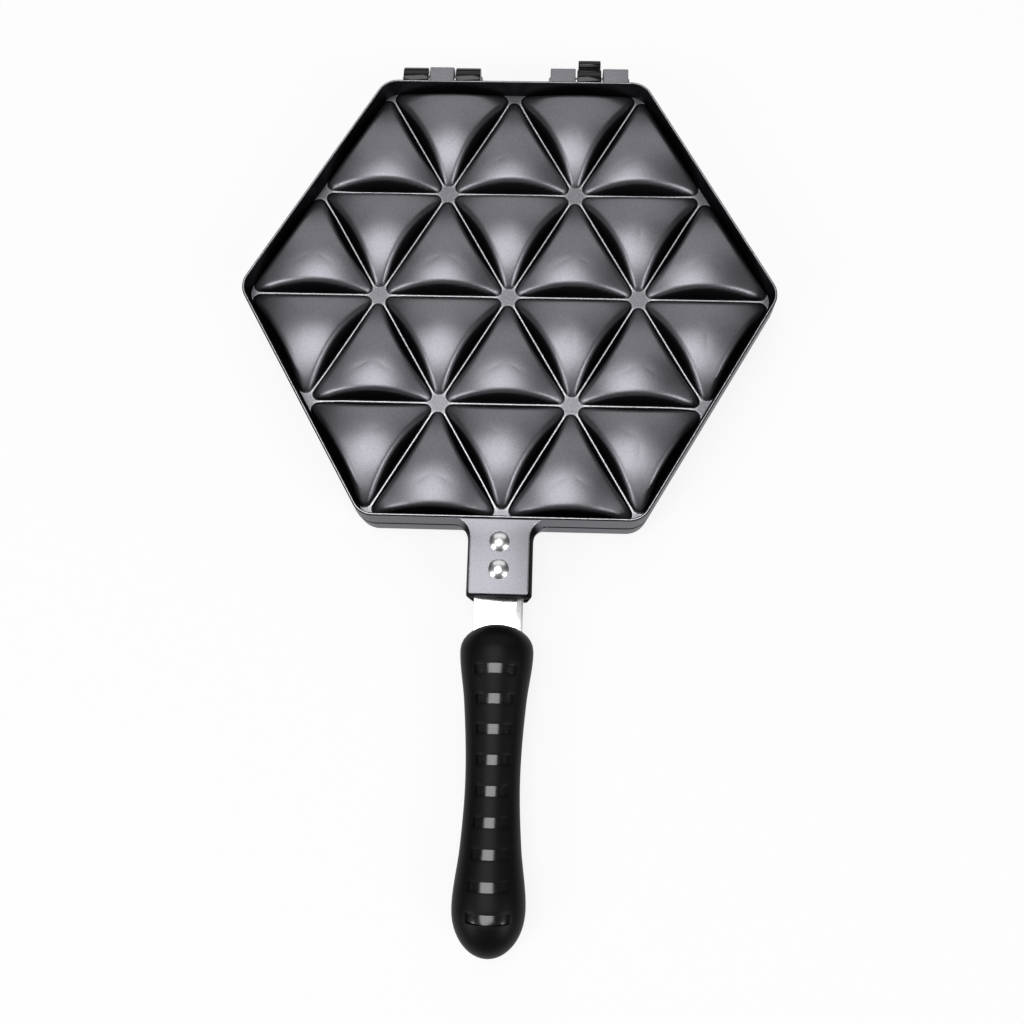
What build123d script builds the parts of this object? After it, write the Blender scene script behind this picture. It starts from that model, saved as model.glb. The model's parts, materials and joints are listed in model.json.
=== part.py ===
from build123d import *
from math import cos, radians, sin, sqrt, tan
import os

# Samosa maker pan: two cast aluminium halves with 24 triangular pockets each, closed face to face
# on a pair of pin hinges, each half with its own flat steel strap and half-round grip.
# Millimetres. +Z is up, +Y runs from the grips to the hinges, and the closed pan stands on its
# lower rim at Z 0, with the origin under the middle of its length.
# Each half is drawn about the centre of its hexagon, with Z counted from the parting plane.

# Lattice of pockets
POCKET_SIDE = 56.0        # rib centre to rib centre, along one side of a pocket
SIDE_ROWS = 2             # pockets along one side of the hexagon
RIB_LAND = 1.0            # flat valley between two pillows, seen from outside
PILLOW_CORNER = 3.9       # radius of a pillow's three sloping edges
POCKET_CORNER = 5.0       # the same inside
PILLOW_DRAFT = 24.2       # degrees off square of a pillow's walls
PILLOW_RISE = 8.65        # middle of a pillow above the sunken field
DOME_RADIUS = 51.5        # crown of a pillow
SKIN = 2.2                # wall between a pillow and the pocket inside it
FOOT_OVERLAP = 0.5        # a pillow starts this far inside the field, a pocket outside the parting plane

# Pan half
HALF_HEIGHT = 12.5        # parting plane to rim
FIELD_HEIGHT = 3.7        # parting plane to sunken field
RIM_FLAT = 100.1          # hexagon centre to the rim's outer flat, at the parting plane
RIM_DRAFT = 2.0           # degrees
RIM_CORNER = 10.0         # outer corner radius of the hexagon
FIELD_FLAT = 97.7         # hexagon centre to the foot of the rim's inner wall
FIELD_CORNER = 8.0
RIM_INNER_DRAFT = 5.0     # degrees
PARTING_EDGE = 1.2        # rounded edge along the parting plane
RIM_EDGE = 0.55           # rounded outer edge of the rim

# Hinges
HINGE_X = 33.3            # middle of each hinge from the centre line
HINGE_AXIS_Y = 107.6      # pin from the hexagon centre
KNUCKLE_RADIUS = 5.5
KNUCKLE_MIDDLE = 10.8     # width of the middle knuckle
KNUCKLE_SPAN = 35.0       # whole width of a hinge
KNUCKLE_GAP = 0.8
LUG_NOSE = 3.3            # how far an upper lug's flat top runs past the pin
LUG_EDGE = 0.8            # rounded edge where that flat top ends
PARTING_RELIEF = 0.3      # lug webs stay this far from the parting plane
PIN_RADIUS = 2.0
PIN_RUN = 0.06            # running clearance of the upper half on the pin
PIN_END = 0.8             # how far a rounded pin end stands out
STOP_ANGLE = 35.0         # degrees of the opening stop above level
STOP_REACH = 6.7          # pin to the centre of the stop's round tip
STOP_RADIUS = 2.4
STOP_WIDTH = 10.0
RIDGE_COUNT = 2
RIDGE_RADIUS = 0.6
RIDGE_STEP = 2.2

# Neck, the cast lug that carries the strap
NECK_FRONT = 130.4        # hexagon centre to the neck's front face
NECK_HALF_BASE = 13.5     # half width at the parting plane
NECK_HALF_TOP = 12.05
NECK_LEAN = 0.4           # the front face stands this much further out at the parting plane
NECK_HEIGHT = 10.8
NECK_WALL = 2.4
NECK_CORNER = 1.4         # upright edges at the front
NECK_DRAFT = 8.0          # degrees, inside
HOLLOW_BACK = 3.0         # rim's outer flat to the back of the neck's hollow
HOLLOW_CORNER = 2.0
FLARE = 6.0               # concave flare into the rim
FLARE_SPREAD = 4.8        # how much wider the neck is where it meets the rim
ROOT_DEPTH = 1.2          # how far neck and hinge lugs reach into the rim wall
BOSS_RADIUS = 4.4
SEAT_PLAY = 0.1           # round the end of the strap, in its seat under the neck
RIVET_Y = (-108.9, -120.1)
RIVET_SHANK = 2.5
RIVET_HEAD = 4.2
RIVET_DOME = 1.5
TAIL_FLARE = 3.4          # countersunk tail of a rivet
TAIL_DEPTH = 1.2

# Strap
STRAP_FLOOR = 0.6         # parting plane to strap and to the grip's flat
STRAP_THICK = 2.0
STRAP_WIDTH = 20.0
STRAP_START = -104.6
TANG_WIDTH = 12.0
TANG_START = -160.0       # where the strap has narrowed to the tang
SHOULDER_START = -147.0
TANG_END = -258.0
STRAP_CORNER = 2.0

# Grip
GRIP_FRONT = -140.8
FRONT_BULGE = (14.9, -151.9)   # half width and place
WAIST = (10.95, -206.0)
REAR_BULGE = (14.4, -250.3)
GRIP_END = -268.8
NECKED = ((12.6, -172.0), (12.1, -228.0))   # half widths between the bulges and the waist
CROWN_RATIO = 0.8         # crown height over half width
SLEEVE = 2.0              # sleeve thickness at the sides
WINDOW_COUNT = 9
WINDOW_FIRST = -159.6
WINDOW_STEP = 11.78
WINDOW_LENGTH = 3.9
WINDOW_DEPTH = 5.5        # deep enough to cut through the sleeve over a window's whole width
WINDOW_SHARE = 0.6        # window width over the grip's half width, each side
WINDOW_TILT = 18.0        # degrees at the two end windows
SCREW_Y = (-170.0, -246.0)
SCREW_SHANK = 1.5
SCREW_HEAD = 2.9
SCREW_HEAD_DEPTH = 1.4
SCREW_LENGTH = 6.0
SCREW_SLOT = (4.4, 0.9, 0.5)   # length, width and depth of each arm of the cross

SQRT3 = sqrt(3.0)
IN_RADIUS = POCKET_SIDE / (2 * SQRT3)          # pocket centre to rib centre line
FRONT_REACH = -GRIP_END
BACK_REACH = HINGE_AXIS_Y + STOP_REACH * cos(radians(STOP_ANGLE)) + STOP_RADIUS
HEX_Y = (FRONT_REACH - BACK_REACH) / 2          # puts the origin under the middle of the length


def to_upper(shape):
    return Pos(0, HEX_Y, HALF_HEIGHT) * shape


def to_lower(shape):
    return Pos(0, HEX_Y, HALF_HEIGHT) * mirror(shape, about=Plane.XY)


def hexagon(flat, corner):
    outline = RegularPolygon(radius=flat, side_count=6, major_radius=False)
    return fillet(outline.vertices(), corner)


def triangle(inset):
    """Pocket outline, point towards +Y, moved in from the rib centre lines."""
    return RegularPolygon(radius=IN_RADIUS - inset, side_count=3, major_radius=False, rotation=90)


def pocket_places():
    """Centre and turn of each triangle of the lattice that lies inside the hexagon."""
    places = []
    reach = SIDE_ROWS * POCKET_SIDE * SQRT3 / 2
    for column in range(-2 * SIDE_ROWS, 2 * SIDE_ROWS):
        for row in range(-SIDE_ROWS, SIDE_ROWS):
            for third, turn in ((1 / 3, 0), (2 / 3, 180)):
                x = POCKET_SIDE * (column + third + (row + third) / 2)
                y = POCKET_SIDE * (row + third) * SQRT3 / 2
                slope = max(abs(SQRT3 * x + y), abs(SQRT3 * x - y)) / 2
                if max(abs(y), slope) < reach:
                    places.append(Pos(x, y, 0) * Rot(0, 0, turn))
    return places


def domed_triangle(base_z, field_inset, corner, crown_z, dome):
    """Drafted triangular prism cut off by a spherical crown, its sides placed at the field's height.
    The ball is turned to bring its poles away from the crown, which keeps the mesh light."""
    inset = field_inset - (FIELD_HEIGHT - base_z) * tan(radians(PILLOW_DRAFT))
    prism = extrude(Pos(0, 0, base_z) * triangle(inset), crown_z - base_z, taper=PILLOW_DRAFT)
    sloping = prism.edges().filter_by(lambda e: abs(e.tangent_at(0.5).Z) > 0.1)
    prism = fillet(sloping, corner)
    return prism & (Pos(0, 0, crown_z - dome) * Rot(90, 0, 0) * Sphere(dome))


def pillow():
    return domed_triangle(FIELD_HEIGHT - FOOT_OVERLAP, RIB_LAND / 2, PILLOW_CORNER,
                          FIELD_HEIGHT + PILLOW_RISE, DOME_RADIUS)


def pocket():
    side = RIB_LAND / 2 + SKIN / cos(radians(PILLOW_DRAFT))
    return domed_triangle(-FOOT_OVERLAP, side, POCKET_CORNER,
                          FIELD_HEIGHT + PILLOW_RISE - SKIN, DOME_RADIUS - SKIN)


def rim_and_field():
    body = extrude(hexagon(RIM_FLAT, RIM_CORNER), HALF_HEIGHT, taper=RIM_DRAFT)
    body = fillet(body.faces().sort_by(Axis.Z)[0].edges(), PARTING_EDGE)
    body = fillet(body.faces().sort_by(Axis.Z)[-1].edges(), RIM_EDGE)
    recess = extrude(Pos(0, 0, FIELD_HEIGHT) * hexagon(FIELD_FLAT, FIELD_CORNER),
                     HALF_HEIGHT - FIELD_HEIGHT + 0.01, taper=-RIM_INNER_DRAFT)
    return body - recess


def neck_plan(half, front):
    """Neck outline with its concave flares, a little inside the rim wall at the back."""
    root = -RIM_FLAT + ROOT_DEPTH
    left = Line((-half, -front), (-half, -RIM_FLAT - FLARE))
    flare_left = RadiusArc(left @ 1, (-half - FLARE_SPREAD, -RIM_FLAT), -FLARE)
    back_left = Line(flare_left @ 1, (-half - FLARE_SPREAD, root))
    back = Line(back_left @ 1, (half + FLARE_SPREAD, root))
    back_right = Line(back @ 1, (half + FLARE_SPREAD, -RIM_FLAT))
    flare_right = RadiusArc(back_right @ 1, (half, -RIM_FLAT - FLARE), -FLARE)
    right = Line(flare_right @ 1, (half, -front))
    face = Line(right @ 1, left @ 0)
    return make_face([left, flare_left, back_left, back, back_right, flare_right, right, face])


def neck():
    """Hollow lug: top plate, side and front walls, and two bosses that the rivets pass through."""
    outer = loft([neck_plan(NECK_HALF_BASE, NECK_FRONT + NECK_LEAN),
                  Pos(0, 0, NECK_HEIGHT) * neck_plan(NECK_HALF_TOP, NECK_FRONT)], ruled=True)
    upright = outer.edges().filter_by(lambda e: abs(e.tangent_at(0.5).Z) > 0.5)
    outer = fillet(upright.sort_by(Axis.Y)[:2], NECK_CORNER)
    back = -RIM_FLAT - HOLLOW_BACK
    front = -NECK_FRONT + NECK_WALL
    width = 2 * (NECK_HALF_BASE - NECK_WALL)
    opening = RectangleRounded(width, back - front, HOLLOW_CORNER)
    hollow = extrude(Pos(0, (back + front) / 2, 0) * opening, NECK_HEIGHT - NECK_WALL,
                     taper=NECK_DRAFT)
    body = outer - hollow
    strap_top = STRAP_FLOOR + STRAP_THICK
    for y in RIVET_Y:
        body += Pos(0, y, strap_top) * extrude(Circle(BOSS_RADIUS), NECK_HEIGHT - NECK_WALL / 2 - strap_top)
    return body - strap_seat(strap_top)


def strap_seat(strap_top):
    """Room for the strap's end, from the middle of the neck out through its front wall."""
    start = STRAP_START + SEAT_PLAY
    end = -NECK_FRONT - FLARE
    width = STRAP_WIDTH + 2 * SEAT_PLAY
    return Pos(0, (start + end) / 2, 0) * extrude(Rectangle(width, start - end), strap_top)


def rivet_hole(y):
    return Pos(0, y, 0) * extrude(Circle(RIVET_SHANK), NECK_HEIGHT + 1)


def hinge_profile(shape, x, width):
    """Extrudes a profile drawn in Y and Z to both sides of the plane X = x."""
    return Pos(x, 0, 0) * extrude(Plane.YZ * shape, width / 2, both=True)


def upper_lug(x, width):
    """Flat-topped lug of the upper half, from its wall out and over the pin."""
    reach = HINGE_AXIS_Y + LUG_NOSE
    root = RIM_FLAT - ROOT_DEPTH
    block = Pos((root + reach) / 2, (PARTING_RELIEF + KNUCKLE_RADIUS) / 2) * Rectangle(
        reach - root, KNUCKLE_RADIUS - PARTING_RELIEF)
    profile = block + Pos(HINGE_AXIS_Y, 0) * Circle(KNUCKLE_RADIUS)
    nose = profile.vertices().filter_by(lambda v: v.X > reach - 0.01 and v.Y > KNUCKLE_RADIUS - 0.01)
    body = hinge_profile(fillet(nose, LUG_EDGE), x, width)
    return body - pin_hole(x, PIN_RADIUS + PIN_RUN)


def lower_knuckle(x, width):
    """Round knuckle of the lower half on a web below the parting plane, drawn upside down."""
    root = RIM_FLAT - ROOT_DEPTH
    block = Pos((root + HINGE_AXIS_Y) / 2, (PARTING_RELIEF + KNUCKLE_RADIUS) / 2) * Rectangle(
        HINGE_AXIS_Y - root, KNUCKLE_RADIUS - PARTING_RELIEF)
    profile = block + Pos(HINGE_AXIS_Y, 0) * Circle(KNUCKLE_RADIUS)
    return hinge_profile(profile, x, width) - pin_hole(x, PIN_RADIUS)


def pin_hole(x, radius):
    return hinge_profile(Pos(HINGE_AXIS_Y, 0) * Circle(radius), x, KNUCKLE_SPAN)


def opening_stop():
    """Ridged tab behind the right middle knuckle, which the open upper half comes to rest on."""
    arm = SlotCenterToCenter(STOP_REACH, 2 * STOP_RADIUS)
    profile = Pos(STOP_REACH / 2, 0) * arm
    for count in range(RIDGE_COUNT):
        along = STOP_REACH - count * RIDGE_STEP
        profile += Pos(along, STOP_RADIUS) * Circle(RIDGE_RADIUS)
    placed = Pos(HINGE_AXIS_Y, 0) * Rot(0, 0, -STOP_ANGLE) * mirror(profile, about=Plane.XZ)
    return hinge_profile(placed, HINGE_X, STOP_WIDTH) - pin_hole(HINGE_X, PIN_RADIUS)


def pan_half():
    body = rim_and_field() + [place * pillow() for place in pocket_places()]
    body = body + neck()
    body = body - [place * pocket() for place in pocket_places()]
    for y in RIVET_Y:
        body -= rivet_hole(y)
    return body


def side_knuckles(x):
    """Place and width of the two outer knuckles of a hinge."""
    width = (KNUCKLE_SPAN - KNUCKLE_MIDDLE) / 2 - KNUCKLE_GAP
    offset = KNUCKLE_SPAN / 2 - width / 2
    return [(x - offset, width), (x + offset, width)]


def upper_pan(half):
    lugs = [upper_lug(-HINGE_X, KNUCKLE_MIDDLE)]
    lugs += [upper_lug(x, width) for x, width in side_knuckles(HINGE_X)]
    return to_upper(half + lugs)


def lower_pan(half):
    knuckles = [lower_knuckle(x, width) for x, width in side_knuckles(-HINGE_X)]
    knuckles += [lower_knuckle(HINGE_X, KNUCKLE_MIDDLE), opening_stop()]
    return to_lower(half + knuckles)


def hinge_pin(x):
    length = KNUCKLE_SPAN + 2 * PIN_END
    pin = Rot(0, 90, 0) * Cylinder(PIN_RADIUS, length)
    pin = fillet(pin.edges().filter_by(GeomType.CIRCLE), PIN_END - 0.1)
    return to_upper(Pos(x, HINGE_AXIS_Y, 0) * pin)


def strap_plan():
    """The strap, and the tang that it narrows to inside the grip."""
    half, tang = STRAP_WIDTH / 2, TANG_WIDTH / 2
    outline = Polyline((-half, STRAP_START), (half, STRAP_START), (half, SHOULDER_START),
                       (tang, TANG_START), (tang, TANG_END), (-tang, TANG_END),
                       (-tang, TANG_START), (-half, SHOULDER_START), (-half, STRAP_START))
    return fillet(make_face(outline).vertices(), STRAP_CORNER)


def strap():
    body = Pos(0, 0, STRAP_FLOOR) * extrude(strap_plan(), STRAP_THICK)
    for y in RIVET_Y:
        body -= rivet_hole(y) + tail_cone(y)
    for y in SCREW_Y:
        body -= screw_shape(y)
    return body


def tail_cone(y):
    flare = Cone(TAIL_FLARE, RIVET_SHANK, TAIL_DEPTH)
    return Pos(0, y, STRAP_FLOOR + TAIL_DEPTH / 2) * flare


def rivet(y):
    """Dome-headed rivet with its tail set into a countersink in the strap."""
    shank = Pos(0, y, STRAP_FLOOR) * extrude(Circle(RIVET_SHANK), NECK_HEIGHT - STRAP_FLOOR)
    radius = (RIVET_HEAD ** 2 + RIVET_DOME ** 2) / (2 * RIVET_DOME)
    ball = Pos(0, y, NECK_HEIGHT + RIVET_DOME - radius) * Sphere(radius)
    above = Pos(0, y, NECK_HEIGHT + radius) * Box(2 * radius, 2 * radius, 2 * radius)
    head = ball & above
    return shank + tail_cone(y) + head


def screw_shape(y):
    shank = Pos(0, y, STRAP_FLOOR) * extrude(Circle(SCREW_SHANK), SCREW_LENGTH)
    head = Cone(SCREW_HEAD, SCREW_SHANK, SCREW_HEAD_DEPTH)
    return shank + Pos(0, y, STRAP_FLOOR + SCREW_HEAD_DEPTH / 2) * head


def grip_screw(y):
    length, width, depth = SCREW_SLOT
    cross = Box(length, width, 2 * depth) + Box(width, length, 2 * depth)
    return screw_shape(y) - Pos(0, y, STRAP_FLOOR) * cross


def grip_solid(inset):
    """Half-round grip: a turned profile pressed flatter and cut off at the strap's lower face."""
    front = GRIP_FRONT - inset
    end = GRIP_END + inset
    nose = FRONT_BULGE[0] - inset
    heel = REAR_BULGE[0] - inset
    points = [(nose, FRONT_BULGE[1])]
    points += [(NECKED[0][0] - inset, NECKED[0][1]), (WAIST[0] - inset, WAIST[1])]
    points += [(NECKED[1][0] - inset, NECKED[1][1]), (heel, REAR_BULGE[1])]
    front_arc = EllipticalCenterArc((0, FRONT_BULGE[1]), nose, front - FRONT_BULGE[1], arc_size=90)
    side = Spline(*points, tangents=[(0, -1), (0, -1)])
    rear_arc = EllipticalCenterArc((0, REAR_BULGE[1]), heel, REAR_BULGE[1] - end, 270, arc_size=90)
    axis_line = Line((0, end), (0, front))
    turned = revolve(make_face([front_arc, side, rear_arc, axis_line]), axis=Axis.Y)
    pressed = scale(turned, by=(1, 1, CROWN_RATIO))
    size = front - end
    keep = Pos(0, (front + end) / 2, STRAP_FLOOR + size / 2) * Box(size, size, size)
    return pressed & keep


def window_cutters():
    cutters = []
    for count in range(WINDOW_COUNT):
        y = WINDOW_FIRST - count * WINDOW_STEP
        turn = 1 - 2 * count / (WINDOW_COUNT - 1)
        tilt = -WINDOW_TILT * turn ** 3
        half = WINDOW_SHARE * grip_half_width(y)
        height = CROWN_RATIO * grip_half_width(y)
        block = Box(2 * half, WINDOW_LENGTH, 2 * WINDOW_DEPTH)
        cutters.append(Pos(0, y, height) * Rot(tilt, 0, 0) * block)
    return cutters


def grip_half_width(y):
    """Half width between the two bulges, from the nearest of the named widths."""
    marks = [FRONT_BULGE, NECKED[0], WAIST, NECKED[1], REAR_BULGE]
    for wide, narrow in zip(marks, marks[1:]):
        if y >= narrow[1]:
            share = (y - narrow[1]) / (wide[1] - narrow[1])
            return narrow[0] + (wide[0] - narrow[0]) * share
    return REAR_BULGE[0]


def grip_core():
    body = grip_solid(SLEEVE) - strap_block()
    for y in SCREW_Y:
        body -= screw_shape(y)
    return body


def strap_block():
    """Groove that the strap lies in, open on the grip's flat face."""
    return extrude(strap_plan(), STRAP_FLOOR + STRAP_THICK)


def grip_sleeve():
    outer = grip_solid(0)
    body = outer - grip_solid(SLEEVE) - strap_block()
    return body - window_cutters()


def main():
    os.makedirs("parts", exist_ok=True)
    half = pan_half()
    nodes = {"upper_pan": upper_pan(half), "lower_pan": lower_pan(half)}
    nodes["left_hinge_pin"] = hinge_pin(-HINGE_X)
    nodes["right_hinge_pin"] = hinge_pin(HINGE_X)
    for side, place in (("upper", to_upper), ("lower", to_lower)):
        nodes[side + "_strap"] = place(strap())
        nodes[side + "_grip_core"] = place(grip_core())
        nodes[side + "_grip_sleeve"] = place(grip_sleeve())
        for name, rivet_y, screw_y in zip(("rear", "front"), RIVET_Y, SCREW_Y):
            nodes[side + "_rivet_" + name] = place(rivet(rivet_y))
            nodes[side + "_grip_screw_" + name] = place(grip_screw(screw_y))
    for name, solid in nodes.items():
        export_step(solid, "parts/" + name + ".step")


main()
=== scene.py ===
import json
from math import asin, cos, degrees, pi, radians, sin, sqrt, tan

import bmesh
import bpy
import numpy as np
from mathutils import Euler, Matrix, Vector


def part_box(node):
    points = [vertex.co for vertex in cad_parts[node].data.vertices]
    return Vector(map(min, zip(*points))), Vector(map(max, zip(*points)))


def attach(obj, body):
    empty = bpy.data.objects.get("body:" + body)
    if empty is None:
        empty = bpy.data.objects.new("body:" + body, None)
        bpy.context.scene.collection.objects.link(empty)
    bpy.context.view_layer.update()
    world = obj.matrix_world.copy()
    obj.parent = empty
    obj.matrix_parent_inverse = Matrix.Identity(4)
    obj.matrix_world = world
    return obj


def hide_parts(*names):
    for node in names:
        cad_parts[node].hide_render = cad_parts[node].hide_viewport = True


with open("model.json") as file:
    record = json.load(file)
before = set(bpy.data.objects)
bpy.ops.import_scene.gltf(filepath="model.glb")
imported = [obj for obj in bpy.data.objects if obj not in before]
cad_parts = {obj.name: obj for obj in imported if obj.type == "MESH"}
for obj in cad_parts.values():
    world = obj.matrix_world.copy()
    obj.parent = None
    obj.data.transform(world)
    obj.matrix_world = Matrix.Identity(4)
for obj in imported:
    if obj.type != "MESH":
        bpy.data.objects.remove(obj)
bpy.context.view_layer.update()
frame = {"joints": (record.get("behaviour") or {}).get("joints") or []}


# The two pan halves. Each is one aluminium casting under a baked non-stick coat: a lattice of
# 24 pillows that are hollow pockets from inside, a rim, and a neck for the strap. The upper half
# carries flat-topped hinge lugs, the lower one round knuckles and the ridged tab.

MM = 0.001
SQRT3 = sqrt(3.0)
hinge = frame["joints"][0]["pos_m"]
PARTING = hinge[2]                 # height of the plane where the halves meet
HALF_HEIGHT = PARTING
HINGE_REACH = 107.6 * MM           # pan centre to hinge pin
PAN_Y = hinge[1] - HINGE_REACH     # pan centre in the frame
POCKET_SIDE = 56.0 * MM            # one triangle of the lattice, between rib centre lines
IN_RADIUS = POCKET_SIDE / (2 * SQRT3)
FIELD_HEIGHT = 3.7 * MM            # parting plane to the sunken field round the pillows
FIELD_FLAT = 97.7 * MM             # pan centre to the foot of the rim
RIM_FLAT = 100.1 * MM              # pan centre to the rim's outer wall
CORNER_HUB = 90.0 * MM             # flat through the centres of the rim's corner arcs
CORNER_REACH = 111.9 * MM          # the lattice's six corners end here, inside the rim wall
WALL_LEAN = radians(24.2)          # a pillow's walls, off the upright
SKIN = 2.2 * MM                    # wall of the casting, pillow to pocket
PAD_WEAR = 0.12                    # how bare the pads where six ribs meet are, beside the ribs


def heading(turn):
    """Unit vector in plan at this angle in degrees."""
    return np.array([cos(radians(turn)), sin(radians(turn))])


def triangle_foot(inset, corner):
    """Rounded triangle, point up, and where each of its points lands on the rib centre lines."""
    side_steps, corner_steps = 20, 8
    foot, rib = [], []
    reach = 2 * (IN_RADIUS - inset - corner)
    for turn in (90, 210, 330):
        centre, tip = heading(turn) * reach, heading(turn) * 2 * IN_RADIUS
        for step in range(corner_steps + 1):
            swing = -60 + 120 * step / corner_steps
            side_normal = heading(turn + (60 if swing > 0 else -60))
            start = centre + side_normal * (inset + corner)
            foot.append(centre + heading(turn + swing) * corner)
            rib.append(tip + (start - tip) * abs(swing) / 60)
        out = heading(turn + 60)
        begin, end = foot[-1], heading(turn + 120) * reach + out * corner
        for step in range(1, side_steps):
            point = begin + (end - begin) * step / side_steps
            foot.append(point)
            rib.append(point + out * inset)
    return np.array(foot), np.array(rib)


def depth_inside(points, inset, corner):
    """How far each point is inside the rounded triangle, negative on the land outside it."""
    core = IN_RADIUS - inset - corner
    within = np.min([core - points @ heading(turn) for turn in (30, 150, 270)], axis=0)
    tips = [2 * core * heading(turn) for turn in (90, 210, 330)]
    outside = np.full(len(points), 1.0)
    for a, b in zip(tips, tips[1:] + tips[:1]):
        share = np.clip((points - a) @ (b - a) / ((b - a) @ (b - a)), 0, 1)
        away = np.linalg.norm(points - a - share[:, None] * (b - a), axis=1)
        outside = np.minimum(outside, away)
    return np.where(within > 0, within, -outside) + corner


def pocket_cell(name, inset, corner, depths, faces_up):
    """One flat triangle of the lattice, its rings packed where the wall and the shoulder bend."""
    foot, rib = triangle_foot(inset, corner)
    count = len(foot)
    land_out = rib - foot
    width = np.linalg.norm(land_out, axis=1)[:, None]
    highlight_from = np.minimum(0.65, 0.25 * MM / width)    # a painted highlight line runs beside the foot
    highlight_to = np.minimum(0.3, 0.1 * MM / width)
    rings = [rib, foot + land_out * highlight_from, foot + land_out * highlight_to]
    rings += [foot * (1 - depth * MM / (IN_RADIUS - inset)) for depth in depths]
    points = np.vstack(rings + [np.zeros((1, 2))])
    pad = np.interp(width[:, 0], (0.5 * MM, 0.9 * MM), (1.0, PAD_WEAR))
    land = np.zeros(len(points))
    # the ring beside the foot is painted fully bright: a painted highlight line
    land[:3 * count] = np.concatenate([pad, pad, np.ones(count)])
    faces = []
    for ring in range(len(rings) - 1):
        for k in range(count):
            a, b = ring * count + k, ring * count + (k + 1) % count
            faces.append((a, b, b + count, a + count))
    last = (len(rings) - 1) * count
    faces += [(last + k, last + (k + 1) % count, len(points) - 1) for k in range(count)]
    if not faces_up:
        faces = [face[::-1] for face in faces]
    mesh = bpy.data.meshes.new(name)
    mesh.from_pydata([(x, y, 0) for x, y in points], [], faces)
    for layer, values in (("depth", depth_inside(points, inset, corner)), ("land", land)):
        attribute = mesh.attributes.new(layer, "FLOAT", "POINT")
        attribute.data.foreach_set("value", values.astype(np.float32))
    return bpy.data.objects.new(name, mesh)


def feed(tree, node, values):
    """Gives a node's sockets plain values or other nodes' results."""
    for socket, value in dict(values).items():
        if isinstance(value, bpy.types.NodeSocket):
            tree.links.new(value, node.inputs[socket])
        else:
            node.inputs[socket].default_value = value


def add_node(tree, kind, values=(), **settings):
    """A node of this kind in the tree, set and fed."""
    node = tree.nodes.new(kind)
    for setting, value in settings.items():
        setattr(node, setting, value)
    feed(tree, node, values)
    return node


def reckon(tree, operation, *values):
    """The result of a Math node on numbers or other nodes' results."""
    return add_node(tree, "ShaderNodeMath", enumerate(values), operation=operation).outputs[0]


def new_tree(name, sizes):
    """Geometry tree with a named input for each size. Gives the tree, its inputs and its output."""
    tree = bpy.data.node_groups.new(name, "GeometryNodeTree")
    kinds = {"Geometry": "NodeSocketGeometry"}
    for size, value in sizes.items():
        kinds[size] = "NodeSocketInt" if isinstance(value, int) else "NodeSocketFloat"
    kinds["Material"] = "NodeSocketMaterial"
    for label, kind in kinds.items():
        tree.interface.new_socket(label, in_out="INPUT", socket_type=kind)
    tree.interface.new_socket("Geometry", in_out="OUTPUT", socket_type="NodeSocketGeometry")
    return tree, tree.nodes.new("NodeGroupInput").outputs, tree.nodes.new("NodeGroupOutput")


def finish_tree(tree, instances, given, result):
    """Ends a tree: the instances are made real and take the finish."""
    real = add_node(tree, "GeometryNodeRealizeInstances", {0: instances}).outputs[0]
    coat = add_node(tree, "GeometryNodeSetMaterial",
                    {"Geometry": real, "Material": given["Material"]}).outputs[0]
    tree.links.new(coat, result.inputs[0])


def grown(seed, tree, sizes, material):
    """The plain mesh that the tree makes out of the seed object at these sizes."""
    bpy.context.scene.collection.objects.link(seed)
    modifier = seed.modifiers.new(tree.name, "NODES")
    modifier.node_group = tree
    values = dict(sizes, Material=material)
    for socket in tree.interface.items_tree:
        if socket.in_out == "INPUT" and socket.name in values:
            modifier[socket.identifier] = values[socket.name]
    graph = bpy.context.evaluated_depsgraph_get()
    mesh = bpy.data.meshes.new_from_object(seed.evaluated_get(graph), depsgraph=graph)
    seed.modifiers.remove(modifier)
    bpy.data.objects.remove(seed)
    return mesh


PILLOW_SIZES = {
    "Pocket side": POCKET_SIDE,
    "Rows along a side": 2,
    "Base height": FIELD_HEIGHT,
    "Wall slope": 1 / tan(WALL_LEAN),
    "Rise": 8.65 * MM,             # field to the top of the dome
    "Dome radius": 51.5 * MM,
    "Shoulder": 4.4 * MM,          # how softly wall and dome run together
    "Foot": 0.4 * MM,              # and field and wall
    "Border start": 84.0 * MM,     # past this flat the lattice is stretched outwards
    "Border reach": 1.1 * MM,      # by this much at its edge
}
lattice, given, result = new_tree("pocket lattice", PILLOW_SIZES)

position = add_node(lattice, "GeometryNodeInputPosition").outputs[0]
plan = add_node(lattice, "ShaderNodeSeparateXYZ", {0: position}).outputs
depth = add_node(lattice, "GeometryNodeInputNamedAttribute", {"Name": "depth"},
                 data_type="FLOAT").outputs["Attribute"]
dome = given["Dome radius"]
from_middle = reckon(lattice, "ADD", reckon(lattice, "POWER", plan["X"], 2.0),
                     reckon(lattice, "POWER", plan["Y"], 2.0))
over_centre = reckon(lattice, "SQRT", reckon(
    lattice, "SUBTRACT", reckon(lattice, "POWER", dome, 2.0), from_middle))
fall = reckon(lattice, "SUBTRACT", dome, over_centre)
crown = reckon(lattice, "SUBTRACT", given["Rise"], fall)
wall = reckon(lattice, "MULTIPLY", depth, given["Wall slope"])
shouldered = reckon(lattice, "SMOOTH_MIN", wall, crown, given["Shoulder"])
pillow_height = reckon(lattice, "SMOOTH_MAX", shouldered, 0.0, given["Foot"])

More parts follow.
